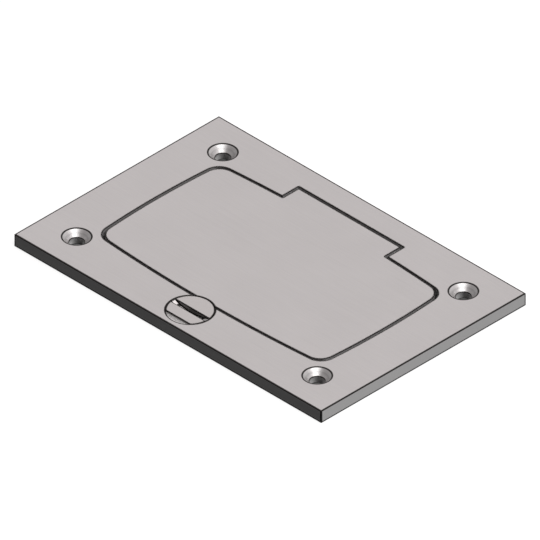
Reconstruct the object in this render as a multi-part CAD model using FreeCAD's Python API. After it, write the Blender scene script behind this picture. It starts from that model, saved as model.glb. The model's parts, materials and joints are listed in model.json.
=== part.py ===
"""Rectangular floor-box cover plate with a hinged flush lid and a coin-slot turn lock.

Millimetres. The origin is the centre of the plate's underside. X runs along the plate, +Y points to
the hinge side, the lock is at the front (-Y), and +Z is up through the top face.
"""

import math
import os

import FreeCAD
import Part

V = FreeCAD.Vector
UP = V(0, 0, 1)

# Plate
plate_length = 150.0
plate_width = 100.0
plate_thickness = 5.0
edge_break = 0.1
mouth_break = 0.15

# Four countersunk fixing holes, measured from the plate's edges
fixing_inset_x = 16.25
fixing_inset_y = 14.3
fixing_bore = 5.5
fixing_sink = 10.2

# Lid: a rectangle whose four sides are slightly bowed outwards, with a rim of plate all round
end_rim = 19.8
side_rim = 18.45
lid_thickness = 2.5
long_side_bow = 650.0
short_side_bow = 350.0
lid_corner_radius = 6.1
opening_corner_radius = 5.8
lid_end_gap = 0.85
lid_side_gap = 0.65

# Ledge and gasket under the lid's edge
ledge_width = 3.0
gasket_thickness = 0.45
gasket_width = 2.4
gasket_side_clearance = 0.15
gasket_squeeze_gap = 0.05

# Hinge tab, its rounded knuckle and the pin
tab_width = 49.8
tab_reach = 7.3
tab_back_gap = 0.9
tab_side_gap = 0.8
pin_diameter = 2.0
pin_depth = 2.0
pin_setback = 2.2
pin_running_clearance = 0.05
pin_seat_clearance = 0.02
pin_grip = 12.3
pin_end_play = 0.1

# Straps under the plate that keep the pin in its grooves
keeper_length = 17.0
keeper_width = 8.0
keeper_thickness = 1.0
keeper_corner_radius = 1.5
keeper_inset = 1.6
keeper_clearance = 0.1
keeper_screw_edge = 3.0
keeper_screw_diameter = 2.0
keeper_screw_head = 3.8
keeper_screw_length = 3.9
screw_seat_clearance = 0.03
screw_drive_width = 0.5
screw_drive_length = 2.2
screw_drive_depth = 0.5
tapped_hole_spare = 0.25

# Turn lock: D-cut head, hub and stem, with a coin slot across the head
lock_from_lid = 7.45
head_diameter = 17.0
head_thickness = 1.15
head_radial_clearance = 0.1
head_seat_clearance = 0.05
flat_distance = 6.05
coin_slot_width = 2.0
coin_slot_depth = 1.9
coin_slot_radius = 20.0
coin_slot_break = 0.1
hub_diameter = 11.0
hub_length = 1.25
hub_end_clearance = 0.1
stem_diameter = 6.0
lock_bore_clearance = 0.05
lock_web = 0.9
stem_tip_height = 0.3

# Wave washer and clip that hold the lock from below
washer_stock = 0.15
washer_outer_diameter = 9.6
washer_space = 0.35
washer_waves = 3
washer_bore_clearance = 0.1
ring_thickness = 0.6
ring_outer_diameter = 11.2
ring_lobe_width = 1.6
ring_mouth_width = 4.2
groove_diameter = 5.0
groove_clearance = 0.02
ring_pocket_clearance = 0.4

# Places worked out from the sizes
top = plate_thickness
fixing_x = plate_length / 2 - fixing_inset_x
fixing_y = plate_width / 2 - fixing_inset_y
lid_length = plate_length - 2 * end_rim
lid_width = plate_width - 2 * side_rim
lid_bottom = top - lid_thickness
ledge_top = lid_bottom - gasket_thickness - gasket_squeeze_gap
tab_back = lid_width / 2 + tab_reach
notch_back = tab_back + tab_back_gap
notch_half_width = tab_width / 2 + tab_side_gap
pin_y = tab_back - pin_setback
pin_z = top - pin_depth
pin_radius = pin_diameter / 2
pin_half_length = notch_half_width + pin_grip
groove_half_width = pin_radius + pin_seat_clearance
keeper_inner_x = notch_half_width + keeper_inset
keeper_screw_x = keeper_inner_x + keeper_length - keeper_screw_edge
keeper_screw_cone = (keeper_screw_head - keeper_screw_diameter) / 2
lock_y = -lid_width / 2 - lock_from_lid
head_bottom = top - head_thickness
recess_floor = head_bottom - head_seat_clearance
hub_bottom = head_bottom - hub_length
web_top = hub_bottom - hub_end_clearance
web_bottom = web_top - lock_web
ring_top = web_bottom - washer_space
ring_bottom = ring_top - ring_thickness

# How far a cutting tool runs past a face, how near counts as the same height, and points along a wave
past = 1.0
same_place = 1e-6
points_per_wave = 8


def disc(radius, bottom, height, x=0.0, y=0.0):
    return Part.makeCylinder(radius, height, V(x, y, bottom), UP)


def block(x_min, x_max, y_min, y_max, bottom, height):
    return Part.makeBox(x_max - x_min, y_max - y_min, height, V(x_min, y_min, bottom))


def countersink(x, y, face_z, bore, mouth, into):
    """A 90 degree cone that opens at face_z and narrows to the bore; into is +1 or -1 along Z."""
    depth = (mouth - bore) / 2
    return Part.makeCone(mouth / 2, bore / 2, depth, V(x, y, face_z), V(0, 0, into))


def unit_towards(start, end):
    return (end - start).normalize()


def bowed_wire(end_grow, side_grow, corner_radius, z):
    """The lid's outline with its ends and sides moved outwards: four bowed arcs and four corner arcs."""
    half_x = lid_length / 2 + end_grow
    half_y = lid_width / 2 + side_grow
    long_radius = long_side_bow + side_grow
    short_radius = short_side_bow + end_grow
    long_centre = V(0, half_y - long_radius, 0)
    short_centre = V(half_x - short_radius, 0, 0)
    reach_long = long_radius - corner_radius
    reach_short = short_radius - corner_radius
    between = short_centre - long_centre
    spread = between.Length
    along = (reach_long**2 - reach_short**2 + spread**2) / (2 * spread)
    aside = math.sqrt(reach_long**2 - along**2)
    direction = unit_towards(long_centre, short_centre)
    corner_centre = long_centre + direction * along + V(direction.y, -direction.x, 0) * aside
    on_long = long_centre + unit_towards(long_centre, corner_centre) * long_radius
    on_short = short_centre + unit_towards(short_centre, corner_centre) * short_radius
    outwards = unit_towards(long_centre, on_long) + unit_towards(short_centre, on_short)
    on_corner = corner_centre + outwards.normalize() * corner_radius

    def placed(point, sign_x, sign_y):
        return V(point.x * sign_x, point.y * sign_y, z)

    edges = []
    for sign_y in (1, -1):
        middle = V(0, half_y * sign_y, z)
        edges.append(Part.Arc(placed(on_long, -1, sign_y), middle, placed(on_long, 1, sign_y)))
    for sign_x in (1, -1):
        middle = V(half_x * sign_x, 0, z)
        edges.append(Part.Arc(placed(on_short, sign_x, -1), middle, placed(on_short, sign_x, 1)))
        for sign_y in (1, -1):
            corner = [placed(point, sign_x, sign_y) for point in (on_long, on_corner, on_short)]
            edges.append(Part.Arc(*corner))
    return Part.Wire(Part.__sortEdges__([edge.toShape() for edge in edges]))


def lid_outline(bottom, height):
    return Part.Face(bowed_wire(0, 0, lid_corner_radius, bottom)).extrude(UP * height)


def opening_outline(inset, bottom, height):
    """The opening that the lid drops into, or the same outline a little further in."""
    corner_radius = opening_corner_radius - inset
    wire = bowed_wire(lid_end_gap - inset, lid_side_gap - inset, corner_radius, bottom)
    return Part.Face(wire).extrude(UP * height)


def rounded_bar(x_min, x_max, half_width, radius, bottom, height):
    """A flat bar along X, centred on the pin's line, with rounded corners."""
    bar = block(x_min, x_max, pin_y - half_width, pin_y + half_width, bottom, height)
    upright = [edge for edge in bar.Edges if edge.BoundBox.ZLength > height / 2]
    return bar.makeFillet(radius, upright)


def same_height(height, other):
    return abs(height - other) < same_place


def top_faces(shape):
    """The shape's flat faces that are flush with the plate's top."""
    return [
        face for face in shape.Faces
        if same_height(face.BoundBox.ZMin, top) and same_height(face.BoundBox.ZMax, top)
    ]


def pin_cylinder(radius, half_length):
    return Part.makeCylinder(radius, 2 * half_length, V(-half_length, pin_y, pin_z), V(1, 0, 0))


def pin_groove(sign):
    """The slot, open to the underside, that one end of the pin is pressed up into."""
    end = pin_half_length + pin_end_play
    x_min, x_max = sorted((0.0, sign * end))
    slot = block(x_min, x_max, pin_y - groove_half_width, pin_y + groove_half_width, -past, pin_z + past)
    roof = Part.makeCylinder(groove_half_width, end, V(0, pin_y, pin_z), V(sign, 0, 0))
    return slot.fuse(roof)


def keeper_span(sign, grow):
    inner = sign * (keeper_inner_x - grow)
    outer = sign * (keeper_inner_x + keeper_length + grow)
    return min(inner, outer), max(inner, outer)


def keeper_pocket(sign):
    x_min, x_max = keeper_span(sign, keeper_clearance)
    half_width = keeper_width / 2 + keeper_clearance
    depth = keeper_thickness + past
    radius = keeper_corner_radius + keeper_clearance
    return rounded_bar(x_min, x_max, half_width, radius, -past, depth)


def lock_hollow():
    """Everything cut from the plate for the lock: head recess, hub bore, stem bore and ring pocket."""
    head_radius = head_diameter / 2 + head_radial_clearance
    head = disc(head_radius, recess_floor, top - recess_floor + past, 0, lock_y)
    hub = disc(hub_diameter / 2 + lock_bore_clearance, web_top, top - web_top, 0, lock_y)
    stem = disc(stem_diameter / 2 + lock_bore_clearance, 0, top, 0, lock_y)
    pocket = disc(ring_outer_diameter / 2 + ring_pocket_clearance, -past, web_bottom + past, 0, lock_y)
    return head.fuse([hub, stem, pocket])


def build_cover_plate():
    half_x = plate_length / 2
    half_y = plate_width / 2
    plate = block(-half_x, half_x, -half_y, half_y, 0, plate_thickness)
    plate = plate.makeChamfer(edge_break, plate.Edges)

    through = plate_thickness + 2 * past
    cuts = [opening_outline(0, ledge_top, top - ledge_top + past)]
    cuts.append(opening_outline(ledge_width, -past, plate_thickness))
    notch = block(-notch_half_width, notch_half_width, 0, notch_back, -past, through)
    ledge_bar = opening_outline(0, -past, ledge_top + past)
    cuts.append(notch.cut(ledge_bar))
    cuts.append(lock_hollow())
    plate = plate.cut(cuts)
    (face,) = top_faces(plate)
    mouths = [edge for wire in face.Wires if not wire.isSame(face.OuterWire) for edge in wire.Edges]
    plate = plate.makeChamfer(mouth_break, mouths)

    cuts = []
    for x in (-fixing_x, fixing_x):
        for y in (-fixing_y, fixing_y):
            cuts.append(disc(fixing_bore / 2, -past, through, x, y))
            cuts.append(countersink(x, y, top, fixing_bore, fixing_sink, -1))
    for sign in (-1, 1):
        cuts.append(pin_groove(sign))
        cuts.append(keeper_pocket(sign))
        tapped_depth = keeper_screw_length + tapped_hole_spare
        cuts.append(disc(keeper_screw_diameter / 2, 0, tapped_depth, sign * keeper_screw_x, pin_y))
    return plate.cut(cuts)


def knuckle_section():
    """The tab's side view: flat top, upright back face, and a round underside about the pin."""
    radius = pin_setback
    run = math.sqrt(radius**2 - (pin_z - lid_bottom) ** 2)
    front = V(0, pin_y - run, lid_bottom)
    lowest = V(0, pin_y, pin_z - radius)
    back = V(0, tab_back, pin_z)
    back_top = V(0, tab_back, top)
    front_top = V(0, pin_y - run, top)
    edges = [
        Part.Arc(front, lowest, back).toShape(),
        Part.makeLine(back, back_top),
        Part.makeLine(back_top, front_top),
        Part.makeLine(front_top, front),
    ]
    return Part.Face(Part.Wire(edges))


def build_lid():
    lid = lid_outline(lid_bottom, lid_thickness)
    tab = block(-tab_width / 2, tab_width / 2, 0, pin_y, lid_bottom, lid_thickness)
    knuckle = knuckle_section()
    knuckle.translate(V(-tab_width / 2, 0, 0))
    knuckle = knuckle.extrude(V(tab_width, 0, 0))
    lid = lid.fuse([tab, knuckle]).removeSplitter()
    step_radius = head_diameter / 2 + head_radial_clearance
    step_floor = recess_floor - head_seat_clearance
    step = disc(step_radius, step_floor, top - step_floor + past, 0, lock_y)
    lid = lid.cut(step)
    (face,) = top_faces(lid)
    lid = lid.makeChamfer(mouth_break, face.OuterWire.Edges)
    return lid.cut(pin_cylinder(pin_radius + pin_running_clearance, pin_half_length))


def build_lid_gasket():
    outer = opening_outline(gasket_side_clearance, ledge_top, gasket_thickness)
    inner = opening_outline(gasket_side_clearance + gasket_width, ledge_top, gasket_thickness)
    return outer.cut(inner)


def build_hinge_pin():
    pin = pin_cylinder(pin_radius, pin_half_length)
    return pin.makeChamfer(edge_break, [edge for edge in pin.Edges if len(edge.Vertexes) == 1])


def build_keeper(sign):
    x_min, x_max = keeper_span(sign, 0.0)
    strap = rounded_bar(x_min, x_max, keeper_width / 2, keeper_corner_radius, 0, keeper_thickness)
    rib_ends = sorted((sign * keeper_inner_x, sign * pin_half_length))
    rib_half_width = pin_radius - pin_seat_clearance
    rib_height = pin_z - pin_radius - pin_seat_clearance
    rib = block(*rib_ends, pin_y - rib_half_width, pin_y + rib_half_width, 0, rib_height)
    mouth = keeper_screw_head + 2 * screw_seat_clearance
    bore = keeper_screw_diameter + 2 * screw_seat_clearance
    screw_x = sign * keeper_screw_x
    hole = disc(bore / 2, -past, keeper_thickness + 2 * past, screw_x, pin_y)
    sink = countersink(screw_x, pin_y, 0, bore, mouth, 1)
    return strap.fuse(rib).cut([hole, sink]).removeSplitter()


def build_keeper_screw(sign):
    """A countersunk screw seen from below, with a cross recess; its thread is left plain."""
    x = sign * keeper_screw_x
    foot = V(x, pin_y, 0)
    head = Part.makeCone(keeper_screw_head / 2, keeper_screw_diameter / 2, keeper_screw_cone, foot, UP)
    shank = disc(keeper_screw_diameter / 2, 0, keeper_screw_length, x, pin_y)
    long_arm = screw_drive_length / 2
    short_arm = screw_drive_width / 2
    recess = []
    for arm_x, arm_y in ((long_arm, short_arm), (short_arm, long_arm)):
        depth = past + screw_drive_depth
        recess.append(block(x - arm_x, x + arm_x, pin_y - arm_y, pin_y + arm_y, -past, depth))
    return head.fuse(shank).cut(recess)


def coin_slot():
    """What a coin slot takes away: a wide disc on edge, and a flare that breaks its two long edges."""
    cutter_centre = V(0, lock_y - coin_slot_width / 2, top - coin_slot_depth + coin_slot_radius)
    disc_on_edge = Part.makeCylinder(coin_slot_radius, coin_slot_width, cutter_centre, V(0, 1, 0))
    start = -head_diameter / 2 - past
    section = []
    for side in (-1, 1):
        inner = V(start, lock_y + side * coin_slot_width / 2, top - coin_slot_break)
        outer = V(start, inner.y + side * (coin_slot_break + past), top + past)
        section.extend((inner, outer)[::side])
    flare = Part.Face(Part.makePolygon([*section, section[0]])).extrude(V(-2 * start, 0, 0))
    return disc_on_edge, flare


def build_turn_lock():
    head = disc(head_diameter / 2, head_bottom, head_thickness, 0, lock_y)
    flat_y = lock_y - flat_distance
    head = head.cut(block(-head_diameter, head_diameter, lock_y - head_diameter, flat_y, 0, top + past))
    (face,) = top_faces(head)
    head = head.makeChamfer(mouth_break, face.OuterWire.Edges)
    hub = disc(hub_diameter / 2, hub_bottom, hub_length + head_thickness / 2, 0, lock_y)
    stem = disc(stem_diameter / 2, stem_tip_height, hub_bottom - stem_tip_height, 0, lock_y)
    lock = head.fuse([hub, stem])
    groove_bottom = ring_bottom - groove_clearance
    groove_height = ring_thickness + 2 * groove_clearance
    groove = disc(stem_diameter, groove_bottom, groove_height, 0, lock_y)
    groove = groove.cut(disc(groove_diameter / 2, 0, top, 0, lock_y))
    return lock.cut([*coin_slot(), groove]).removeSplitter()


def build_lock_ring():
    """The clip pushed onto the stem's groove: a broad ring with three lobes and an open mouth."""
    ring = disc(ring_outer_diameter / 2, ring_bottom, ring_thickness, 0, lock_y)
    relief = disc(ring_outer_diameter / 2 - ring_lobe_width, ring_bottom, ring_thickness, 0, lock_y)
    half_lobe = ring_lobe_width / 2
    lobe = block(-half_lobe, half_lobe, 0, ring_outer_diameter / 2, ring_bottom, ring_thickness)
    lobes = []
    for angle in (0, 90, -90):
        turned = lobe.copy()
        turned.rotate(V(0, 0, 0), UP, angle)
        turned.translate(V(0, lock_y, 0))
        lobes.append(turned)
    relief = relief.cut(lobes)
    seat = disc(groove_diameter / 2 + groove_clearance, ring_bottom, ring_thickness, 0, lock_y)
    half_mouth = ring_mouth_width / 2
    front = lock_y - ring_outer_diameter
    mouth = block(-half_mouth, half_mouth, front, lock_y, ring_bottom, ring_thickness)
    return ring.cut([relief, seat, mouth])


def build_lock_wave_washer():
    """A thin spring ring whose face rises and falls three times round the stem."""
    inner = stem_diameter / 2 + washer_bore_clearance
    outer = washer_outer_diameter / 2
    middle = (web_bottom + ring_top) / 2
    swing = (washer_space - washer_stock) / 2 - groove_clearance
    steps = points_per_wave * washer_waves
    faces = []
    for radius in (inner, outer):
        rings = []
        for offset in (-washer_stock / 2, washer_stock / 2):
            points = []
            for step in range(steps):
                angle = 2 * math.pi * step / steps
                height = middle + offset + swing * math.cos(washer_waves * angle)
                points.append(V(radius * math.cos(angle), lock_y + radius * math.sin(angle), height))
            curve = Part.BSplineCurve()
            curve.interpolate(Points=points, PeriodicFlag=True)
            rings.append(curve.toShape())
        faces.append(rings)
    (inner_low, inner_high), (outer_low, outer_high) = faces
    shell = Part.Shell([
        Part.makeRuledSurface(inner_low, inner_high),
        Part.makeRuledSurface(inner_high, outer_high),
        Part.makeRuledSurface(outer_high, outer_low),
        Part.makeRuledSurface(outer_low, inner_low),
    ])
    shell.sewShape()
    return Part.Solid(shell)


def build_parts():
    parts = {
        "cover_plate": build_cover_plate(),
        "lid": build_lid(),
        "lid_gasket": build_lid_gasket(),
        "hinge_pin": build_hinge_pin(),
        "turn_lock": build_turn_lock(),
        "lock_wave_washer": build_lock_wave_washer(),
        "lock_ring": build_lock_ring(),
    }
    for side, sign in (("left", -1), ("right", 1)):
        parts[f"hinge_keeper_{side}"] = build_keeper(sign)
        parts[f"keeper_screw_{side}"] = build_keeper_screw(sign)
    return parts


os.makedirs("parts", exist_ok=True)
for name, shape in build_parts().items():
    print(name, shape.isValid(), len(shape.Solids), round(shape.Volume, 3))
    shape.exportStep(f"parts/{name}.step")
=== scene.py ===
"""Finishes, rubber gasket, strap screws and studio for a rectangular floor-box cover plate.

The plate carries a flush hinged lid with slightly bowed sides and a coin-slot turn lock. Its rigid
pieces come from the fixed frame and get their metal finishes here. The rubber gasket and the two
small screws under the hinge straps are modelled here. Lengths are metres in the frame's own axes:
+X along the plate, +Y towards the hinge and +Z up through the top face.
"""

import json
import math

import bmesh
import bpy
from bpy.props import FloatProperty, FloatVectorProperty, IntProperty, PointerProperty
from mathutils import Matrix, Vector


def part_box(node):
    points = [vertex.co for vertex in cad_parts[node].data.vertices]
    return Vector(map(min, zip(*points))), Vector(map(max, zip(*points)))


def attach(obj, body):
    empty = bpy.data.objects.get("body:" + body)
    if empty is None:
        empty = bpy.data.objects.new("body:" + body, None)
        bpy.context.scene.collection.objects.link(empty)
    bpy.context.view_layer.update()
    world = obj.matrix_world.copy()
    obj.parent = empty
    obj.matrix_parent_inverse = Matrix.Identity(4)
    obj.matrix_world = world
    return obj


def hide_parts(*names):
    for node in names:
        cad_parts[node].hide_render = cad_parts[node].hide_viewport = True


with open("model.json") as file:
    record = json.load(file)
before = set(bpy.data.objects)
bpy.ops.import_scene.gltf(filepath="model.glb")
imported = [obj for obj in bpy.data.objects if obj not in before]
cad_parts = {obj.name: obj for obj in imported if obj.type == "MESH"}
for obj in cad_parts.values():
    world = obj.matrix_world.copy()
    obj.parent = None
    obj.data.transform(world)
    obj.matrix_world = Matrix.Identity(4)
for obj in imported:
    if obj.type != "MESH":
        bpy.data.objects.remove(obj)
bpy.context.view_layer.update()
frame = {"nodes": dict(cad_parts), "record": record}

bl_info = {
    "name": "Floor Box Cover Plate",
    "version": (1, 0, 0),
    "blender": (4, 5, 0),
    "location": "3D View > Sidebar > Cover Plate",
    "description": "Finishes a hinged floor-box cover plate, its gasket and screws, and sets its studio",
    "category": "Object",
}

MM = 0.001
SAME_PLACE = 0.001 * MM
TURN = 2 * math.pi
WHITE = (1, 1, 1)

# Angles by which a mesh's flat joints and ridges are told apart, and the flats on a rounded edge
FLAT_ANGLE = math.radians(1)
RIDGE_ANGLE = math.radians(30)
ROUND_STEPS = 2

# Upward part of a face's unit normal, by which level faces, slopes and walls are told apart
UPWARDS = 0.9
UPRIGHT = 0.2
CHAMFER_SLOPE = 0.6
CHAMFER_SPREAD = 0.25
RUNOUT_SLOPE = 0.925
RUNOUT_SPREAD = 0.07

# Lengthways part of a wall's unit normal, over which the wall comes to count as one across the plate
SIDEWAYS = (0.75, 0.95)

# Match of a rounded normal with the face's own, on an edge and clear of it
EDGE_MATCH = (0.984, 0.992)
EDGE_SAMPLES = 16

# Range in which most of a noise's values lie, and the seeds of the grain on the plate and on its lid
NOISE_SPAN = (0.3, 0.7)
PLATE_SEED = 0.0
LID_SEED = 5.0

# Depths and distances that set the parts of a finish apart
LINE_FADE = 0.1 * MM
MILLED_DEPTH = 0.5 * MM
WALL_INSET = 1 * MM
HEAD_THICKNESS = 1.15 * MM

# Places read from the frame
plate_low, plate_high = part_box("cover_plate")
lock_low, lock_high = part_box("turn_lock")
plate_top = plate_high.z
lock_radius = (lock_high.x - lock_low.x) / 2
lock_axis = Vector((0, lock_high.y - lock_radius, 0))
mounts = {mount["name"]: mount for mount in frame["record"]["mounts"]}
fixing = mounts["fixing_holes"]["dims"]
fixing_x = fixing["spacing_x_mm"] * MM / 2
fixing_y = fixing["spacing_y_mm"] * MM / 2
fixing_bore = fixing["hole_r_mm"] * MM


def length(name, description, millimetres):
    return FloatProperty(
        name=name, description=description, default=millimetres * MM, unit="LENGTH", precision=6
    )


def share(name, description, default):
    return FloatProperty(name=name, description=description, default=default, min=0, subtype="FACTOR")


def span(name, description, default):
    return FloatVectorProperty(name=name, description=description, default=default, size=2, min=0)


def colour(name, description, default):
    return FloatVectorProperty(
        name=name, description=description, default=default, size=3, min=0, max=1, subtype="COLOR"
    )


class GroundMetal(bpy.types.PropertyGroup):
    """The satin ground faces of the plate and its lid."""

    tone: colour("Tone", "Colour of the ground faces", (0.620, 0.612, 0.610))
    roughness: share("Roughness", "How soft the reflection is", 0.42)
    roughness_reach: share("Roughness reach", "How much the strokes vary the roughness", 0.04)
    milled_metallic: share("Milled metallic", "How mirror-like the milled floors are", 0.3)
    # Painted shade: the gap's short walls are made darker than the ground faces.
    gap_painted_shade: share("Gap gain", "Tone of the gap's short walls as a share of the ground faces'", 0.62)
    grain_length: length("Grain length", "Length of one grinding stroke", 14.0)
    grain_width: length("Grain width", "Width of one grinding stroke", 0.09)
    grain_depth: length("Grain depth", "Depth of the grinding strokes", 0.004)
    grain_contrast: share("Grain contrast", "How much the strokes vary in tone", 0.05)
    cloud_size: length("Cloud size", "Size of the soft clouds in the tone", 22)
    cloud_contrast: share("Cloud contrast", "How much the clouds vary in tone", 0.015)
    edge_tone: colour("Edge tone", "Colour of the darkened edges", (0.034, 0.032, 0.031))
    edge_reach: length("Edge reach", "How far the search for an edge goes on level faces", 1.0)
    wall_reach: length("Wall reach", "How far the search for an edge goes on upright walls", 0.5)
    outline_width: length("Outline width", "Width of the dark line along the plate's outline", 0.62)
    outline_narrowing: share("Outline narrowing", "How much narrower it is on the walls below", 2.0)
    sink_width: length("Sink width", "Mouth of a countersink", 10.2)
    mouth_line: length("Mouth line", "How far the dark line round a countersink's mouth spreads", 0.38)
    mouth_shift: length("Mouth shift", "How far outside the mouth that line's middle lies", 0.1)
    bore_line: length("Bore line", "How far the dark line runs from the bore's upper edge", 0.27)
    ring_pitch: length("Ring pitch", "Distance between turning rings in a countersink", 0.7)
    ring_contrast: share("Ring contrast", "How much the rings vary in tone", 0.16)
    sink_gain: share("Sink gain", "Tone of the countersinks as a share of the ground faces'", 0.94)
    sink_roughness: share("Sink roughness", "How soft the reflection is in the countersinks", 0.41)


class TurnedMetal(bpy.types.PropertyGroup):
    """The turned head of the lock."""

    tone: colour("Tone", "Colour of the turned faces", (0.61, 0.598, 0.592))
    # Painted shade: the upright walls, such as the coin slot's, are coloured dark.
    painted_wall_shade: colour("Wall tone", "Colour of the upright walls, such as the slot's", (0.17, 0.165, 0.16))
    # Painted light: a bright colour on the slot's rising ends (a painted highlight) and on the flat's foot.
    painted_light_tone: colour("Run-out tone", "Colour of the slot's bright rising ends", (0.97, 0.96, 0.95))
    roughness: share("Roughness", "How soft the reflection is", 0.40)
    ring_pitch: length("Ring pitch", "Distance between turning rings", 0.3)
    ring_depth: length("Ring depth", "Depth of the turning rings", 0.001)
    ring_contrast: share("Ring contrast", "How much the rings vary in tone", 0.02)
    edge_reach: length("Edge reach", "How far the search for an edge goes", 0.75)
    slot_width: length("Slot width", "Width of the coin slot", 2.0)
    slot_line: length("Slot line", "Width of the dark line along each edge of the coin slot", 0.7)
    # Painted light from the recess floor on the flat's foot reaches this height.
    flat_painted_light: length("Flat lit", "Height over which the flat's foot is lit by the recess floor", 0.6)
    flat_metallic: share("Flat metallic", "How mirror-like the flat's foot is", 0.2)
    recess_gap: length("Recess gap", "Gap between the head and its recess", 0.1)
    recess_line: length("Recess line", "How far the dark line runs from the recess's edge", 0.52)


class SmallFittings(bpy.types.PropertyGroup):
    """The straps, pin, clip, washer and screws."""

    zinc_tone: colour("Zinc tone", "Colour of the plated straps", (0.50, 0.51, 0.53))
    zinc_roughness: share("Zinc roughness", "How soft the reflection is on the straps", 0.38)
    zinc_patch: length("Zinc patch", "Size of the patches in the straps' tone", 3)
    pin_tone: colour("Pin tone", "Colour of the ground pin", (0.62, 0.62, 0.63))
    pin_roughness: share("Pin roughness", "How soft the reflection is on the pin", 0.25)
    pin_patch: length("Pin patch", "Size of the patches in the pin's tone", 0.3)
    spring_tone: colour("Spring tone", "Colour of the tempered clip and washer", (0.11, 0.105, 0.11))
    spring_roughness: share("Spring roughness", "How soft the reflection is on them", 0.35)
    spring_patch: length("Spring patch", "Size of the patches in their tone", 2)
    screw_tone: colour("Screw tone", "Colour of the blackened screws", (0.10, 0.10, 0.105))
    screw_roughness: share("Screw roughness", "How soft the reflection is on the screws", 0.36)
    screw_patch: length("Screw patch", "Size of the patches in the screws' tone", 1)
    patch_contrast: share("Patch contrast", "How much the patches vary in tone", 0.1)
    patch_depth: length("Patch depth", "Depth of the patches", 0.002)
    roughness_reach: share("Roughness reach", "How much the patches vary the roughness", 0.05)


class RubberGasket(bpy.types.PropertyGroup):
    """The ribbed gasket on the ledge under the lid."""

    tone: colour("Tone", "Colour of the rubber", (0.018, 0.018, 0.019))
    shades: span("Shades", "Darkest and lightest shade as shares of the tone", (0.8, 1.25))
    roughness: span("Roughness", "Sharpest and softest reflection of the rubber", (0.55, 0.72))
    pore_size: length("Pore size", "Size of the moulded grain", 0.12)
    pore_depth: length("Pore depth", "Depth of the moulded grain", 0.01)
    edge_round: length("Edge round", "Radius on the ribs' edges", 0.05)
    land: length("Land", "Width of the flat rib beside each edge", 0.45)
    groove_wall: length("Groove wall", "Sideways run of a groove's wall", 0.14)
    groove_floor: length("Groove floor", "Width of a groove's floor", 0.2)
    groove_depth: length("Groove depth", "Depth of the grooves between the ribs", 0.18)


class StrapScrew(bpy.types.PropertyGroup):
    """The two countersunk screws that hold the hinge straps."""

    thread_diameter: length("Thread diameter", "Diameter over the thread's crests", 1.98)
    thread_pitch: length("Thread pitch", "Distance between thread crests", 0.4)
    thread_depth: length("Thread depth", "Height of a thread crest over its root", 0.22)
    crest_flat: share("Crest flat", "Share of the pitch that is flat at a crest", 0.125)
    root_flat: share("Root flat", "Share of the pitch that is flat at a root", 0.25)
    head_height: length("Head height", "Height of the countersunk cone", 0.9)
    neck: length("Neck", "Plain length between the head and the thread", 0.25)
    tip: length("Tip", "Length of the tapered end", 0.25)
    recess_span: length("Recess span", "Length across the cross recess", 2.2)
    recess_slot: length("Recess slot", "Width of the recess's arms", 0.5)
    recess_depth: length("Recess depth", "Depth of the cross recess", 0.5)
    recess_floor: share("Recess floor", "Size of the recess's floor as a share of its mouth", 0.72)
    edge_round: length("Edge round", "Radius on the head's edges", 0.04)
    steps: IntProperty(name="Steps", description="Flats round one turn of the thread", default=32)


class Studio(bpy.types.PropertyGroup):
    """Camera, light and floor."""

    azimuth: FloatProperty(
        name="Azimuth", description="Direction of the camera round the plate",
        default=math.radians(45), subtype="ANGLE",
    )
    elevation: FloatProperty(
        name="Elevation", description="Height of the camera over the horizon",
        default=math.atan(math.sqrt(0.5)), subtype="ANGLE",
    )
    frame_width: length("Frame width", "Width that the picture covers", 186.55)
    aim_right: length("Aim right", "How far the aim lies right of the top face's centre", -0.02)
    aim_down: length("Aim down", "How far the aim lies below the top face's centre", 2.163)
    distance: length("Distance", "Distance of the camera", 600)
    floor_size: length("Floor size", "Side of the square floor", 4000)
    floor_drop: length("Floor drop", "How far the floor lies below the plate's underside", 0.05)
    floor_tone: colour("Floor tone", "Colour of the pale floor", (0.35, 0.35, 0.35))
    floor_roughness: share("Floor roughness", "How soft the floor's reflection is", 0.9)
    floor_glow: share("Floor glow", "Glow that makes the pale floor white", 0.75)
    shade_tone: colour("Shade tone", "Colour of the floor under the plate", (0.06, 0.06, 0.06))
    shade_glow: share("Shade glow", "Glow of the floor under the plate", 0.06)
    shade_inset: length("Shade inset", "How far inside the plate's outline the floor turns dark", 4)
    sky_level: share("Sky level", "Light from the sides", 0.427)
    sky_least: share("Sky least", "Weakest light from any side", 0.02)
    sky_back: FloatProperty(name="Sky back", description="Gain of light towards the back", default=0.404)
    sky_up: FloatProperty(name="Sky up", description="Gain of light upwards", default=0.26)
    zenith_tone: FloatVectorProperty(
        name="Zenith tone", description="Colour of the light from straight above",
        default=(1.09, 1.0, 1.0), size=3, min=0, subtype="COLOR",
    )
    key_power: FloatProperty(
        name="Key power", description="Power of the key panel", default=4.2, unit="POWER"
    )
    key_direction: FloatVectorProperty(
        name="Key direction", description="Direction from the plate to the key panel",
        default=(0.54, -0.24, 0.81), size=3, subtype="DIRECTION",
    )
    key_size: length("Key size", "Side of the square key panel", 760)
    key_distance: length("Key distance", "Distance of the key panel", 900)


class CoverPlateSettings(bpy.types.PropertyGroup):
    """All sizes and colours that a user would change."""

    ground: PointerProperty(type=GroundMetal, name="Ground metal")
    turned: PointerProperty(type=TurnedMetal, name="Turned metal")
    fittings: PointerProperty(type=SmallFittings, name="Small fittings")
    gasket: PointerProperty(type=RubberGasket, name="Gasket")
    screw: PointerProperty(type=StrapScrew, name="Strap screw")
    studio: PointerProperty(type=Studio, name="Studio")


# Finishes


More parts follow.
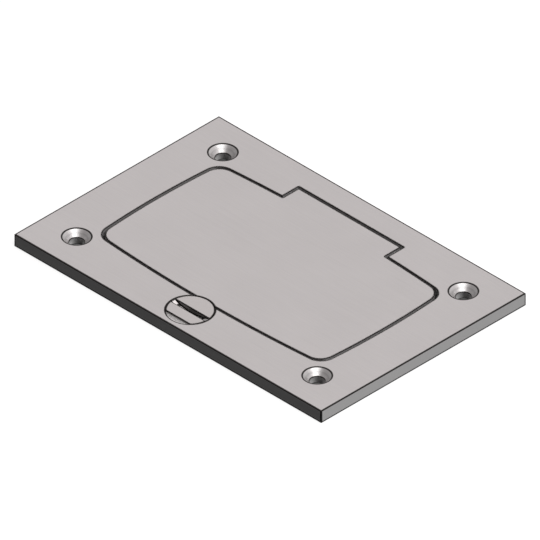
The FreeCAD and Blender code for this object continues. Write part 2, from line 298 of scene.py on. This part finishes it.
class Nodes:
    """One tree of shader nodes, with short ways to add and join them."""

    def __init__(self, tree):
        self.tree = tree
        self.tree.nodes.clear()

    def add(self, kind, **settings):
        node = self.tree.nodes.new(kind)
        for key, value in settings.items():
            setattr(node, key, value)
        return node

    def join(self, start, end):
        self.tree.links.new(start, end)

    def feed(self, socket, value):
        """Joins a socket to another, or sets it to a plain number, vector or colour."""
        if isinstance(value, bpy.types.NodeSocket):
            self.join(value, socket)
        elif socket.type == "RGBA":
            socket.default_value = (*value, 1.0)
        else:
            socket.default_value = value

    def math(self, operation, *values):
        node = self.add("ShaderNodeMath", operation=operation)
        for socket, value in zip(node.inputs, values):
            self.feed(socket, value)
        return node.outputs["Value"]

    def joined(self, operation, first, *others):
        """One operation over several values, such as their product or the greatest of them."""
        for value in others:
            first = self.math(operation, first, value)
        return first

    def vector_math(self, operation, *values):
        node = self.add("ShaderNodeVectorMath", operation=operation)
        for socket, value in zip(node.inputs, values):
            self.feed(socket, value)
        return next(socket for socket in node.outputs if socket.enabled)

    def axes(self, vector):
        node = self.add("ShaderNodeSeparateXYZ")
        self.join(vector, node.inputs["Vector"])
        return node.outputs

    def mixed_shader(self, share_value, first, second):
        """The first shader at a share of 0 and the second at 1."""
        node = self.add("ShaderNodeMixShader")
        self.join(share_value, node.inputs["Fac"])
        self.join(first, node.inputs[1])
        self.join(second, node.inputs[2])
        return node.outputs["Shader"]

    def background(self, tone, strength):
        node = self.add("ShaderNodeBackground")
        self.feed(node.inputs["Color"], tone)
        self.feed(node.inputs["Strength"], strength)
        return node.outputs["Background"]


class Finish(Nodes):
    """One material's nodes, which read the piece's own coordinates."""

    def __init__(self, name, roughness, metallic=1.0):
        self.material = bpy.data.materials.new(name)
        self.material.use_nodes = True
        super().__init__(self.material.node_tree)
        self.surface = self.add("ShaderNodeOutputMaterial").inputs["Surface"]
        self.shader = self.add("ShaderNodeBsdfPrincipled")
        self.set("Metallic", metallic)
        self.set("Roughness", roughness)
        self.join(self.shader.outputs["BSDF"], self.surface)
        self.place = self.add("ShaderNodeTexCoord").outputs["Object"]
        self.spot = self.axes(self.place)

    def set(self, name, value):
        """Feeds one of the shader's own sockets."""
        self.feed(self.shader.inputs[name], value)

    def scaled_place(self, scale):
        """Object coordinates divided by a size along each axis."""
        node = self.add("ShaderNodeMapping", vector_type="TEXTURE")
        self.join(self.place, node.inputs["Vector"])
        node.inputs["Scale"].default_value = scale
        return node.outputs["Vector"]

    def noise(self, scale, detail=2.0, seed=0.0):
        """Soft random values, about 0.5 on average, whose patches have the given size along each axis."""
        node = self.add("ShaderNodeTexNoise", noise_dimensions="4D")
        self.join(self.scaled_place(scale), node.inputs["Vector"])
        node.inputs["W"].default_value = seed
        node.inputs["Scale"].default_value = 1.0
        node.inputs["Detail"].default_value = detail
        return node.outputs["Fac"]

    def spread(self, value, from_low, from_high, to_low, to_high, smooth=False):
        """Stretches a range of values to another range, and holds them there."""
        node = self.add("ShaderNodeMapRange", clamp=True)
        if smooth:
            node.interpolation_type = "SMOOTHSTEP"
        self.join(value, node.inputs["Value"])
        node.inputs["From Min"].default_value = from_low
        node.inputs["From Max"].default_value = from_high
        node.inputs["To Min"].default_value = to_low
        node.inputs["To Max"].default_value = to_high
        return node.outputs["Result"]

    def about(self, noise, middle, reach):
        """Turns a noise into values that stay within reach of their middle."""
        return self.spread(noise, *NOISE_SPAN, middle - reach, middle + reach)

    def mixed_colour(self, share_value, first, second):
        """The first colour at a share of 0 and the second at 1."""
        node = self.add("ShaderNodeMix", data_type="RGBA")
        factor, first_socket, second_socket = (socket for socket in node.inputs if socket.enabled)
        self.feed(factor, share_value)
        self.feed(first_socket, first)
        self.feed(second_socket, second)
        return next(socket for socket in node.outputs if socket.enabled)

    def toned(self, tone, factor):
        """A colour made lighter or darker by a factor that varies over the surface."""
        node = self.add("ShaderNodeVectorMath", operation="SCALE")
        self.feed(node.inputs[0], tuple(tone))
        self.join(factor, node.inputs["Scale"])
        return node.outputs["Vector"]

    def bump(self, height, depth):
        """Shades the surface as if a pattern from 0 to 1 stood out by a depth."""
        node = self.add("ShaderNodeBump")
        node.inputs["Distance"].default_value = depth
        self.join(height, node.inputs["Height"])
        self.set("Normal", node.outputs["Normal"])

    def world_normal(self):
        return self.add("ShaderNodeNewGeometry").outputs["Normal"]

    def own_normal(self):
        """The surface's direction in the piece's own axes, which turn with it."""
        turn = self.add("ShaderNodeVectorTransform", vector_type="NORMAL")
        turn.convert_from = "WORLD"
        turn.convert_to = "OBJECT"
        self.join(self.world_normal(), turn.inputs["Vector"])
        return self.axes(turn.outputs["Vector"])

    def distance_from(self, axis, place):
        """Distance of a place from an upright axis."""
        away = self.vector_math("SUBTRACT", place, axis)
        return self.vector_math("LENGTH", self.vector_math("MULTIPLY", away, (1, 1, 0)))

    def edge_line(self, reach, wall_reach):
        """1 along every edge of the piece, falling to 0 about half the reach away."""
        level = self.math("ABSOLUTE", self.own_normal()["Z"])
        rounded = self.add("ShaderNodeBevel", samples=EDGE_SAMPLES)
        self.join(self.spread(level, UPRIGHT, UPWARDS, wall_reach, reach), rounded.inputs["Radius"])
        match = self.vector_math("DOT_PRODUCT", rounded.outputs["Normal"], self.world_normal())
        return self.spread(match, *EDGE_MATCH, 1.0, 0.0)

    def near(self, distance, width):
        """1 where a distance is less than a width, with a soft end."""
        return self.spread(distance, width - LINE_FADE, width, 1.0, 0.0)

    def circle_line(self, from_axis, radius, height, width):
        """1 along a level circle, given the distance from its axis."""
        pair = self.add("ShaderNodeCombineXYZ")
        self.join(self.math("SUBTRACT", from_axis, radius), pair.inputs["X"])
        self.join(self.math("SUBTRACT", self.spot["Z"], height), pair.inputs["Y"])
        return self.near(self.vector_math("LENGTH", pair.outputs["Vector"]), width)

    def chamfers(self):
        """1 on faces that slope, such as the small chamfers that break the edges."""
        return self.math("COMPARE", self.own_normal()["Z"], CHAMFER_SLOPE, CHAMFER_SPREAD)


class GroundFinish(Finish):
    """Satin ground metal with fine strokes along X, milled floors, turned countersinks, dark edges and
    painted shade on the gap's short walls.
    """

    def __init__(self, name, settings, turned, seed):
        super().__init__(name, settings.roughness)
        self.settings = settings
        self.recess_radius = lock_radius + turned.recess_gap
        self.recess_line = turned.recess_line
        self.bore_top = plate_top - settings.sink_width / 2 + fixing_bore
        quarter = self.vector_math("ABSOLUTE", self.place)
        self.from_fixing = self.distance_from((fixing_x, fixing_y, 0), quarter)
        self.from_lock = self.distance_from(lock_axis, self.place)
        self.cones = self.countersinks()
        self.sides = self.gap_sides()
        stroke_size = (settings.grain_length, settings.grain_width, settings.grain_width)
        self.strokes = self.noise(stroke_size, detail=3.0, seed=seed)
        self.clouds = self.noise([settings.cloud_size] * 3, seed=seed + 1)
        self.set("Base Color", self.mixed_colour(self.dark_lines(), self.metal_tone(), settings.edge_tone))
        self.set("Roughness", self.softness())
        self.set("Metallic", self.mirror_share())
        self.bump(self.strokes, settings.grain_depth)

    def countersinks(self):
        """1 inside the mouths of the countersinks and above their bores."""
        above = self.math("GREATER_THAN", self.spot["Z"], self.bore_top)
        inside = self.math("LESS_THAN", self.from_fixing, self.settings.sink_width / 2)
        return self.math("MULTIPLY", inside, above)

    def box_depth(self):
        """Distances inwards from the nearest of the plate's faces along each axis."""
        centre = (plate_low + plate_high) / 2
        away = self.vector_math("ABSOLUTE", self.vector_math("SUBTRACT", self.place, centre))
        return self.axes(self.vector_math("SUBTRACT", plate_high - centre, away))

    def gap_sides(self):
        """1 on the upright walls across the plate's length in the gap round the lid."""
        lengthways = self.math("ABSOLUTE", self.own_normal()["X"])
        depth = self.box_depth()
        return self.joined(
            "MULTIPLY",
            self.spread(lengthways, *SIDEWAYS, 0.0, 1.0),
            self.math("GREATER_THAN", self.math("MINIMUM", depth["X"], depth["Y"]), WALL_INSET),
            self.math("GREATER_THAN", self.from_fixing, self.settings.sink_width / 2),
            self.math("GREATER_THAN", self.from_lock, lock_radius + self.recess_line),
        )

    def outline(self):
        """1 along the twelve edges of the plate: there the middle one of three distances is small."""
        depth = self.box_depth()
        below = self.math("SUBTRACT", plate_top, self.spot["Z"])
        from_top = self.math("MULTIPLY", below, self.settings.outline_narrowing)
        from_end = self.math("MINIMUM", from_top, self.math("SUBTRACT", self.spot["Z"], plate_low.z))
        nearer = self.math("MINIMUM", depth["X"], depth["Y"])
        farther = self.math("MAXIMUM", depth["X"], depth["Y"])
        middle = self.math("MAXIMUM", nearer, self.math("MINIMUM", farther, from_end))
        return self.near(middle, self.settings.outline_width)

    def dark_lines(self):
        """1 along the outline, the gap, the countersinks and the lock's recess."""
        settings = self.settings
        mouth_radius = settings.sink_width / 2 + settings.mouth_shift
        return self.joined(
            "MAXIMUM",
            self.math("SUBTRACT", self.edge_line(settings.edge_reach, settings.wall_reach), self.cones),
            self.outline(),
            self.math("SUBTRACT", self.chamfers(), self.cones),
            self.circle_line(self.from_fixing, mouth_radius, plate_top, settings.mouth_line),
            self.circle_line(self.from_fixing, fixing_bore, self.bore_top, settings.bore_line),
            self.circle_line(self.from_lock, self.recess_radius, plate_top, self.recess_line),
        )

    def ring_tone(self):
        """The tone of the turned countersinks, with their rings, and 1 elsewhere."""
        ring = self.add("ShaderNodeTexNoise", noise_dimensions="1D")
        ring.inputs["Scale"].default_value = 1 / self.settings.ring_pitch
        self.join(self.from_fixing, ring.inputs["W"])
        rings = self.about(ring.outputs["Fac"], 0, self.settings.ring_contrast)
        gain = self.math("ADD", rings, self.settings.sink_gain - 1)
        return self.math("MULTIPLY_ADD", gain, self.cones, 1.0)

    def metal_tone(self):
        """The metal's colour with its strokes, clouds and rings, and painted shade that darkens the gap's
        short walls.
        """
        factor = self.joined(
            "MULTIPLY",
            self.about(self.strokes, 1, self.settings.grain_contrast),
            self.about(self.clouds, 1, self.settings.cloud_contrast),
            self.ring_tone(),
            # Painted shade on the gap's short walls.
            self.spread(self.sides, 0, 1, 1, self.settings.gap_painted_shade),
        )
        return self.toned(self.settings.tone, factor)

    def softness(self):
        """Roughness that varies with the strokes and has its own level in the countersinks."""
        settings = self.settings
        rough = self.about(self.strokes, settings.roughness, settings.roughness_reach)
        return self.math("MULTIPLY_ADD", self.cones, settings.sink_roughness - settings.roughness, rough)

    def mirror_share(self):
        """1, but less on the gap's short walls and on faces that look up from below the plate's top."""
        upwards = self.math("GREATER_THAN", self.own_normal()["Z"], UPWARDS)
        sunk = self.math("LESS_THAN", self.spot["Z"], plate_top - MILLED_DEPTH)
        milled = self.math("MAXIMUM", self.math("MULTIPLY", upwards, sunk), self.sides)
        return self.spread(milled, 0, 1, 1, self.settings.milled_metallic)


class TurnedFinish(Finish):
    """Metal turned about the lock's axis, with a coin slot and a flat, painted shade on its upright walls
    and painted light at the slot's rising ends and the flat's foot.
    """

    def __init__(self, name, settings, edge_tone):
        super().__init__(name, settings.roughness)
        self.settings = settings
        self.slope = self.own_normal()["Z"]
        turns = self.math("MULTIPLY", self.distance_from(lock_axis, self.place), TURN / settings.ring_pitch)
        waves = self.math("SINE", turns)
        contrast = settings.ring_contrast
        walls = self.math("LESS_THAN", self.slope, UPRIGHT)
        lit = self.math("MULTIPLY", walls, self.flat_foot())
        tone = self.toned(settings.tone, self.spread(waves, -1, 1, 1 - contrast, 1 + contrast))
        # Painted shade on the upright walls.
        tone = self.mixed_colour(self.math("SUBTRACT", walls, lit), tone, settings.painted_wall_shade)
        # Painted light on the flat's foot, as if from the recess floor.
        tone = self.mixed_colour(lit, tone, settings.painted_light_tone)
        # Painted highlight on the slot's rising ends.
        tone = self.mixed_colour(self.runout_highlight_mask(), tone, settings.painted_light_tone)
        dark = self.math("SUBTRACT", self.dark_lines(), lit)
        self.set("Base Color", self.mixed_colour(dark, tone, edge_tone))
        self.set("Metallic", self.spread(lit, 0, 1, 1, settings.flat_metallic))
        self.bump(waves, settings.ring_depth)

    def flat_foot(self):
        """1 at the foot of the flat, where light from the recess floor is painted, falling to 0 above it."""
        head_bottom = plate_top - HEAD_THICKNESS
        on_flat = self.math("LESS_THAN", self.spot["Y"], lock_low.y + LINE_FADE)
        lit_top = head_bottom + self.settings.flat_painted_light
        foot = self.spread(self.spot["Z"], head_bottom, lit_top, 1.0, 0.0, smooth=True)
        return self.math("MULTIPLY", on_flat, foot)

    def runout_highlight_mask(self):
        """1 on the coin slot's curved floor where it rises to the head's face, where a highlight is painted.
        """
        return self.math("COMPARE", self.slope, RUNOUT_SLOPE, RUNOUT_SPREAD)

    def dark_lines(self):
        """1 along the head's edges and both sides of the coin slot."""
        settings = self.settings
        from_slot = self.math("ABSOLUTE", self.math("SUBTRACT", self.spot["Y"], lock_axis.y))
        beside = self.math("COMPARE", from_slot, settings.slot_width / 2, settings.slot_line / 2)
        level = self.math("GREATER_THAN", self.slope, UPWARDS)
        return self.joined(
            "MAXIMUM",
            self.edge_line(settings.edge_reach, settings.edge_reach),
            self.chamfers(),
            self.math("MULTIPLY", beside, level),
        )


def fitting_finish(name, fittings, tone, roughness, patch):
    """Plated or tempered small metal parts, with a slightly uneven tone."""
    finish = Finish(name, roughness)
    patches = finish.noise((patch, patch, patch), detail=3.0)
    finish.set("Base Color", finish.toned(tone, finish.about(patches, 1, fittings.patch_contrast)))
    finish.set("Roughness", finish.about(patches, roughness, fittings.roughness_reach))
    finish.bump(patches, fittings.patch_depth)
    return finish.material


def rubber_finish(name, settings):
    """Matt black rubber with a fine moulded grain."""
    sharpest, softest = settings.roughness
    finish = Finish(name, softest, metallic=0.0)
    pores = finish.noise([settings.pore_size] * 3)
    shades = finish.spread(pores, *NOISE_SPAN, *settings.shades)
    finish.set("Base Color", finish.toned(settings.tone, shades))
    finish.set("Roughness", finish.spread(pores, *NOISE_SPAN, sharpest, softest))
    finish.bump(pores, settings.pore_depth)
    return finish.material


# Meshes of the new pieces


def whole_mesh(node):
    """A bmesh of a node's shape, with its loose triangles joined."""
    bm = bmesh.new()
    bm.from_mesh(frame["nodes"][node].data)
    bmesh.ops.remove_doubles(bm, verts=bm.verts, dist=SAME_PLACE)
    return bm


def round_edges(bm, edges, radius):
    """Breaks sharp edges with a small round of few flats."""
    bmesh.ops.bevel(
        bm, geom=edges, offset=radius, segments=ROUND_STEPS, profile=0.5, affect="EDGES", material=-1
    )


def ribbed_gasket(settings):
    """The flat rubber strip with two grooves sunk into its upper face, which leave three ribs."""
    bm = whole_mesh("lid_gasket")
    bmesh.ops.dissolve_limit(bm, angle_limit=FLAT_ANGLE, verts=bm.verts, edges=bm.edges)
    face_up = [face for face in bm.faces if face.normal.z > UPWARDS]
    wall = settings.groove_wall
    depth = settings.groove_depth
    for run, rise in ((settings.land, 0), (wall, -depth), (settings.groove_floor, 0), (wall, depth)):
        bmesh.ops.inset_region(
            bm, faces=face_up, use_boundary=True, use_even_offset=True, thickness=run, depth=rise
        )
    ridges = [edge for edge in bm.edges if edge.is_convex and edge.calc_face_angle() > RIDGE_ANGLE]
    round_edges(bm, ridges, settings.edge_round)
    return bm


def open_edges(bm):
    """The edges that have a face on one side only."""
    return [edge for edge in bm.edges if edge.is_boundary]


def grown_ring(bm, edges, radius, height):
    """Extrudes a round open edge to a new ring of the given radius and height about the Z axis."""
    made = bmesh.ops.extrude_edge_only(bm, edges=edges)["geom"]
    for vert in (part for part in made if isinstance(part, bmesh.types.BMVert)):
        outwards = vert.co.xy.normalized() * radius
        vert.co = (outwards.x, outwards.y, height)
    return [part for part in made if isinstance(part, bmesh.types.BMEdge) and part.is_boundary]


def thread_body(bm, settings, start, end):
    """A screw thread about the Z axis, cut off level at its start and its end."""
    crest = settings.thread_diameter / 2
    root = crest - settings.thread_depth
    pitch = settings.thread_pitch
    flank = pitch * (1 - settings.crest_flat - settings.root_flat) / 2
    strides = (
        (root, settings.root_flat * pitch),
        (root, flank),
        (crest, settings.crest_flat * pitch),
        (crest, flank),
    )
    spare_turns = 2
    turns = math.ceil((end - start) / pitch) + spare_turns
    height = start - spare_turns * pitch
    profile = []
    for _turn in range(turns + 1):
        for radius, stride in strides:
            profile.append(bm.verts.new((radius, 0, height)))
            height += stride
    line = [bm.edges.new(pair) for pair in zip(profile, profile[1:])]
    bmesh.ops.spin(
        bm, geom=profile + line, cent=(0, 0, 0), axis=(0, 0, 1), dvec=(0, 0, pitch / settings.steps),
        angle=TURN, steps=settings.steps, use_merge=False, use_duplicate=False,
    )
    bmesh.ops.remove_doubles(bm, verts=bm.verts, dist=SAME_PLACE)
    for level, side in ((start, {"clear_inner": True}), (end, {"clear_outer": True})):
        everything = bm.verts[:] + bm.edges[:] + bm.faces[:]
        bmesh.ops.bisect_plane(bm, geom=everything, plane_co=(0, 0, level), plane_no=(0, 0, 1), **side)


def cross_recess(bm, settings, rim):
    """Closes the head's face inside its rim and sinks a tapered cross into it."""
    arm = settings.recess_span / 2
    half_slot = settings.recess_slot / 2
    cross = bmesh.ops.create_grid(bm, x_segments=3, y_segments=3, size=arm)["verts"]
    for vert in cross:
        for axis in range(2):
            if abs(vert.co[axis]) < arm / 2:
                vert.co[axis] = math.copysign(half_slot, vert.co[axis])
    faces = list({face for vert in cross for face in vert.link_faces})
    corners = [face for face in faces if min(abs(axis) for axis in face.calc_center_median().xy) > half_slot]
    bmesh.ops.delete(bm, geom=corners, context="FACES")
    arms = [face for face in faces if face.is_valid]
    around = [edge for edge in open_edges(bm) if any(vert in cross for vert in edge.verts)]
    bmesh.ops.bridge_loops(bm, edges=rim + around)
    sunk = bmesh.ops.extrude_face_region(bm, geom=arms)["geom"]
    bmesh.ops.delete(bm, geom=arms, context="FACES")
    floor = [part for part in sunk if isinstance(part, bmesh.types.BMVert)]
    share_left = settings.recess_floor
    bmesh.ops.scale(bm, vec=(share_left, share_left, 1), verts=floor)
    bmesh.ops.translate(bm, vec=(0, 0, settings.recess_depth), verts=floor)


def strap_screw(settings, low, high):
    """A small countersunk screw whose head lies flush with the underside."""
    bm = bmesh.new()
    radius = settings.thread_diameter / 2
    start = settings.head_height + settings.neck
    end = high.z - low.z - settings.tip
    thread_body(bm, settings, start, end)
    ends = open_edges(bm)
    lower = [edge for edge in ends if edge.verts[0].co.z < (start + end) / 2]
    upper = [edge for edge in ends if edge.verts[0].co.z > (start + end) / 2]
    point = grown_ring(bm, upper, radius - settings.thread_depth - settings.tip / 2, high.z - low.z)
    bmesh.ops.holes_fill(bm, edges=point)
    neck = grown_ring(bm, lower, radius, start - settings.edge_round)
    neck = grown_ring(bm, neck, radius, settings.head_height)
    rim = grown_ring(bm, neck, (high.x - low.x) / 2, 0)
    cross_recess(bm, settings, rim)
    bmesh.ops.dissolve_degenerate(bm, dist=SAME_PLACE, edges=bm.edges)
    bmesh.ops.recalc_face_normals(bm, faces=bm.faces)
    corners = [
        edge for edge in bm.edges
        if max(vert.co.z for vert in edge.verts) < SAME_PLACE and edge.calc_face_angle() > RIDGE_ANGLE
    ]
    round_edges(bm, corners, settings.edge_round)
    foot = Vector(((low.x + high.x) / 2, (low.y + high.y) / 2, low.z))
    bmesh.ops.translate(bm, vec=foot, verts=bm.verts)
    return bm


# Steps that finish and make the pieces


def add_piece(name, bm, node, body, material):
    """Makes an object of a bmesh that stands for a node and rides on a body."""
    mesh = bpy.data.meshes.new(name)
    bm.to_mesh(mesh)
    bm.free()
    mesh.materials.append(material)
    piece = bpy.data.objects.new(name, mesh)
    bpy.context.scene.collection.objects.link(piece)
    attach(piece, body)
    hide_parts(node)


def dress(node, material):
    """Gives a carried-over node its finish."""
    mesh = frame["nodes"][node].data
    mesh.materials.clear()
    mesh.materials.append(material)


class COVERPLATE_OT_finish_plate(bpy.types.Operator):
    """Satin ground finish on the cover plate"""

    bl_idname = "coverplate.finish_plate"
    bl_label = "Finish the Plate"

    def execute(self, context):
        settings = context.scene.cover_plate
        finish = GroundFinish("plate ground steel", settings.ground, settings.turned, PLATE_SEED)
        dress("cover_plate", finish.material)
        return {"FINISHED"}


class COVERPLATE_OT_finish_lid(bpy.types.Operator):
    """Satin ground finish on the lid"""

    bl_idname = "coverplate.finish_lid"
    bl_label = "Finish the Lid"

    def execute(self, context):
        settings = context.scene.cover_plate
        finish = GroundFinish("lid ground steel", settings.ground, settings.turned, LID_SEED)
        dress("lid", finish.material)
        return {"FINISHED"}


class COVERPLATE_OT_finish_lock(bpy.types.Operator):
    """Turned finish on the lock, dark tempered finish on its washer and clip"""

    bl_idname = "coverplate.finish_lock"
    bl_label = "Finish the Lock"

    def execute(self, context):
        settings = context.scene.cover_plate
        fittings = settings.fittings
        finish = TurnedFinish("lock turned steel", settings.turned, settings.ground.edge_tone)
        dress("turn_lock", finish.material)
        spring = fitting_finish(
            "tempered spring steel", fittings,
            fittings.spring_tone, fittings.spring_roughness, fittings.spring_patch,
        )
        dress("lock_wave_washer", spring)
        dress("lock_ring", spring)
        return {"FINISHED"}


class COVERPLATE_OT_finish_hinge(bpy.types.Operator):
    """Zinc on the hinge straps and a ground finish on the pin"""

    bl_idname = "coverplate.finish_hinge"
    bl_label = "Finish the Hinge"

    def execute(self, context):
        fittings = context.scene.cover_plate.fittings
        zinc = fitting_finish(
            "zinc plated strap", fittings, fittings.zinc_tone, fittings.zinc_roughness, fittings.zinc_patch
        )
        dress("hinge_keeper_left", zinc)
        dress("hinge_keeper_right", zinc)
        ground_pin = fitting_finish(
            "ground pin steel", fittings, fittings.pin_tone, fittings.pin_roughness, fittings.pin_patch
        )
        dress("hinge_pin", ground_pin)
        return {"FINISHED"}


class COVERPLATE_OT_make_gasket(bpy.types.Operator):
    """The ribbed rubber gasket on the ledge"""

    bl_idname = "coverplate.make_gasket"
    bl_label = "Make the Gasket"

    def execute(self, context):
        settings = context.scene.cover_plate.gasket
        rubber = rubber_finish("gasket rubber", settings)
        add_piece("ribbed_gasket", ribbed_gasket(settings), "lid_gasket", "plate", rubber)
        return {"FINISHED"}


class COVERPLATE_OT_make_screws(bpy.types.Operator):
    """The two countersunk screws that hold the hinge straps"""

    bl_idname = "coverplate.make_screws"
    bl_label = "Make the Strap Screws"

    def execute(self, context):
        settings = context.scene.cover_plate
        fittings = settings.fittings
        black = fitting_finish(
            "blackened screw steel", fittings,
            fittings.screw_tone, fittings.screw_roughness, fittings.screw_patch,
        )
        for side in ("left", "right"):
            node = f"keeper_screw_{side}"
            screw = strap_screw(settings.screw, *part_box(node))
            add_piece(f"strap_screw_{side}", screw, node, "plate", black)
        return {"FINISHED"}


# Camera, floor and light


def view_directions(azimuth, elevation):
    """Unit vectors from the object back to the camera, to the picture's right and to its top."""
    back = Vector((
        math.sin(azimuth) * math.cos(elevation),
        -math.cos(azimuth) * math.cos(elevation),
        math.sin(elevation),
    ))
    right = Vector((math.cos(azimuth), math.sin(azimuth), 0))
    return back, right, back.cross(right)


def set_camera(settings):
    back, right, up = view_directions(settings.azimuth, settings.elevation)
    aim = Vector((0, 0, plate_top)) + right * settings.aim_right - up * settings.aim_down
    camera = bpy.data.cameras.new("studio_camera")
    camera.type = "ORTHO"
    camera.ortho_scale = settings.frame_width
    holder = bpy.data.objects.new("studio_camera", camera)
    holder.matrix_world = Matrix.Translation(aim + back * settings.distance) @ Matrix(
        (right, up, back)
    ).transposed().to_4x4()
    bpy.context.scene.collection.objects.link(holder)
    bpy.context.scene.camera = holder


def floor_finish(settings):
    """Pale and glowing, but dark under the plate where no light would reach, and clear from below."""
    finish = Finish("studio floor", settings.floor_roughness, metallic=0.0)
    finish.set("Specular IOR Level", 0.0)
    finish.set("Emission Color", WHITE)
    outwards = finish.axes(
        finish.vector_math("SUBTRACT", finish.vector_math("ABSOLUTE", finish.place), plate_high)
    )
    farther = finish.math("MAXIMUM", outwards["X"], outwards["Y"])
    open_floor = finish.math("GREATER_THAN", farther, -settings.shade_inset)
    finish.set("Base Color", finish.mixed_colour(open_floor, settings.shade_tone, settings.floor_tone))
    glow = finish.spread(open_floor, 0, 1, settings.shade_glow, settings.floor_glow)
    finish.set("Emission Strength", glow)
    from_below = finish.add("ShaderNodeNewGeometry").outputs["Backfacing"]
    clear = finish.add("ShaderNodeBsdfTransparent").outputs["BSDF"]
    finish.join(finish.mixed_shader(from_below, finish.shader.outputs["BSDF"], clear), finish.surface)
    return finish.material


def lay_floor(settings):
    """A level square floor just below the plate, which the metal doesn't mirror."""
    bm = bmesh.new()
    bmesh.ops.create_grid(bm, x_segments=1, y_segments=1, size=settings.floor_size / 2)
    bmesh.ops.translate(bm, vec=(0, 0, -settings.floor_drop), verts=bm.verts)
    mesh = bpy.data.meshes.new("studio_floor")
    bm.to_mesh(mesh)
    bm.free()
    mesh.materials.append(floor_finish(settings))
    floor = bpy.data.objects.new("studio_floor", mesh)
    bpy.context.scene.collection.objects.link(floor)
    floor.visible_diffuse = False
    floor.visible_glossy = False


def set_sky(settings):
    """Soft light that grows towards the back and the top, behind a plain white backdrop."""
    world = bpy.data.worlds.new("studio_sky")
    world.use_nodes = True
    sky = Nodes(world.node_tree)
    direction = sky.add("ShaderNodeTexCoord").outputs["Generated"]
    gain = sky.vector_math("DOT_PRODUCT", direction, (0, settings.sky_back, settings.sky_up))
    level = sky.math("MAXIMUM", sky.math("ADD", gain, settings.sky_level), settings.sky_least)
    tint = sky.add("ShaderNodeMixRGB", use_clamp=False)
    sky.join(sky.axes(direction)["Z"], tint.inputs["Fac"])
    sky.feed(tint.inputs["Color1"], WHITE)
    sky.feed(tint.inputs["Color2"], settings.zenith_tone)
    light = sky.background(tint.outputs["Color"], level)
    backdrop = sky.background(WHITE, 1.0)
    seen = sky.add("ShaderNodeLightPath").outputs["Is Camera Ray"]
    output = sky.add("ShaderNodeOutputWorld")
    sky.join(sky.mixed_shader(seen, light, backdrop), output.inputs["Surface"])
    bpy.context.scene.world = world


def hang_panel(settings):
    """The square key panel, to the right and well above, aimed at the plate."""
    panel = bpy.data.lights.new("key_panel", "AREA")
    panel.energy = settings.key_power
    panel.size = settings.key_size
    holder = bpy.data.objects.new("key_panel", panel)
    direction = Vector(settings.key_direction).normalized()
    holder.location = direction * settings.key_distance
    holder.rotation_mode = "QUATERNION"
    holder.rotation_quaternion = (-direction).to_track_quat("-Z", "Y")
    bpy.context.scene.collection.objects.link(holder)


class COVERPLATE_OT_set_stage(bpy.types.Operator):
    """Pale floor, soft light and the camera"""

    bl_idname = "coverplate.set_stage"
    bl_label = "Set the Stage"

    def execute(self, context):
        settings = context.scene.cover_plate.studio
        lay_floor(settings)
        set_sky(settings)
        hang_panel(settings)
        set_camera(settings)
        context.scene.view_settings.view_transform = "Standard"
        return {"FINISHED"}


OPERATORS = (
    COVERPLATE_OT_finish_plate,
    COVERPLATE_OT_finish_lid,
    COVERPLATE_OT_finish_lock,
    COVERPLATE_OT_finish_hinge,
    COVERPLATE_OT_make_gasket,
    COVERPLATE_OT_make_screws,
    COVERPLATE_OT_set_stage,
)


class COVERPLATE_PT_tools(bpy.types.Panel):
    """Lists the steps in order"""

    bl_idname = "COVERPLATE_PT_tools"
    bl_label = "Cover Plate"
    bl_space_type = "VIEW_3D"
    bl_region_type = "UI"
    bl_category = "Cover Plate"

    def draw(self, context):
        for operator in OPERATORS:
            self.layout.operator(operator.bl_idname)


CLASSES = (
    GroundMetal,
    TurnedMetal,
    SmallFittings,
    RubberGasket,
    StrapScrew,
    Studio,
    CoverPlateSettings,
    *OPERATORS,
    COVERPLATE_PT_tools,
)


def register():
    for entry in CLASSES:
        bpy.utils.register_class(entry)
    bpy.types.Scene.cover_plate = PointerProperty(type=CoverPlateSettings)


def unregister():
    del bpy.types.Scene.cover_plate
    for entry in reversed(CLASSES):
        bpy.utils.unregister_class(entry)


def main():
    register()
    bpy.ops.coverplate.finish_plate()
    bpy.ops.coverplate.finish_lid()
    bpy.ops.coverplate.finish_lock()
    bpy.ops.coverplate.finish_hinge()
    bpy.ops.coverplate.make_gasket()
    bpy.ops.coverplate.make_screws()
    bpy.ops.coverplate.set_stage()


if __name__ == "__main__":
    main()
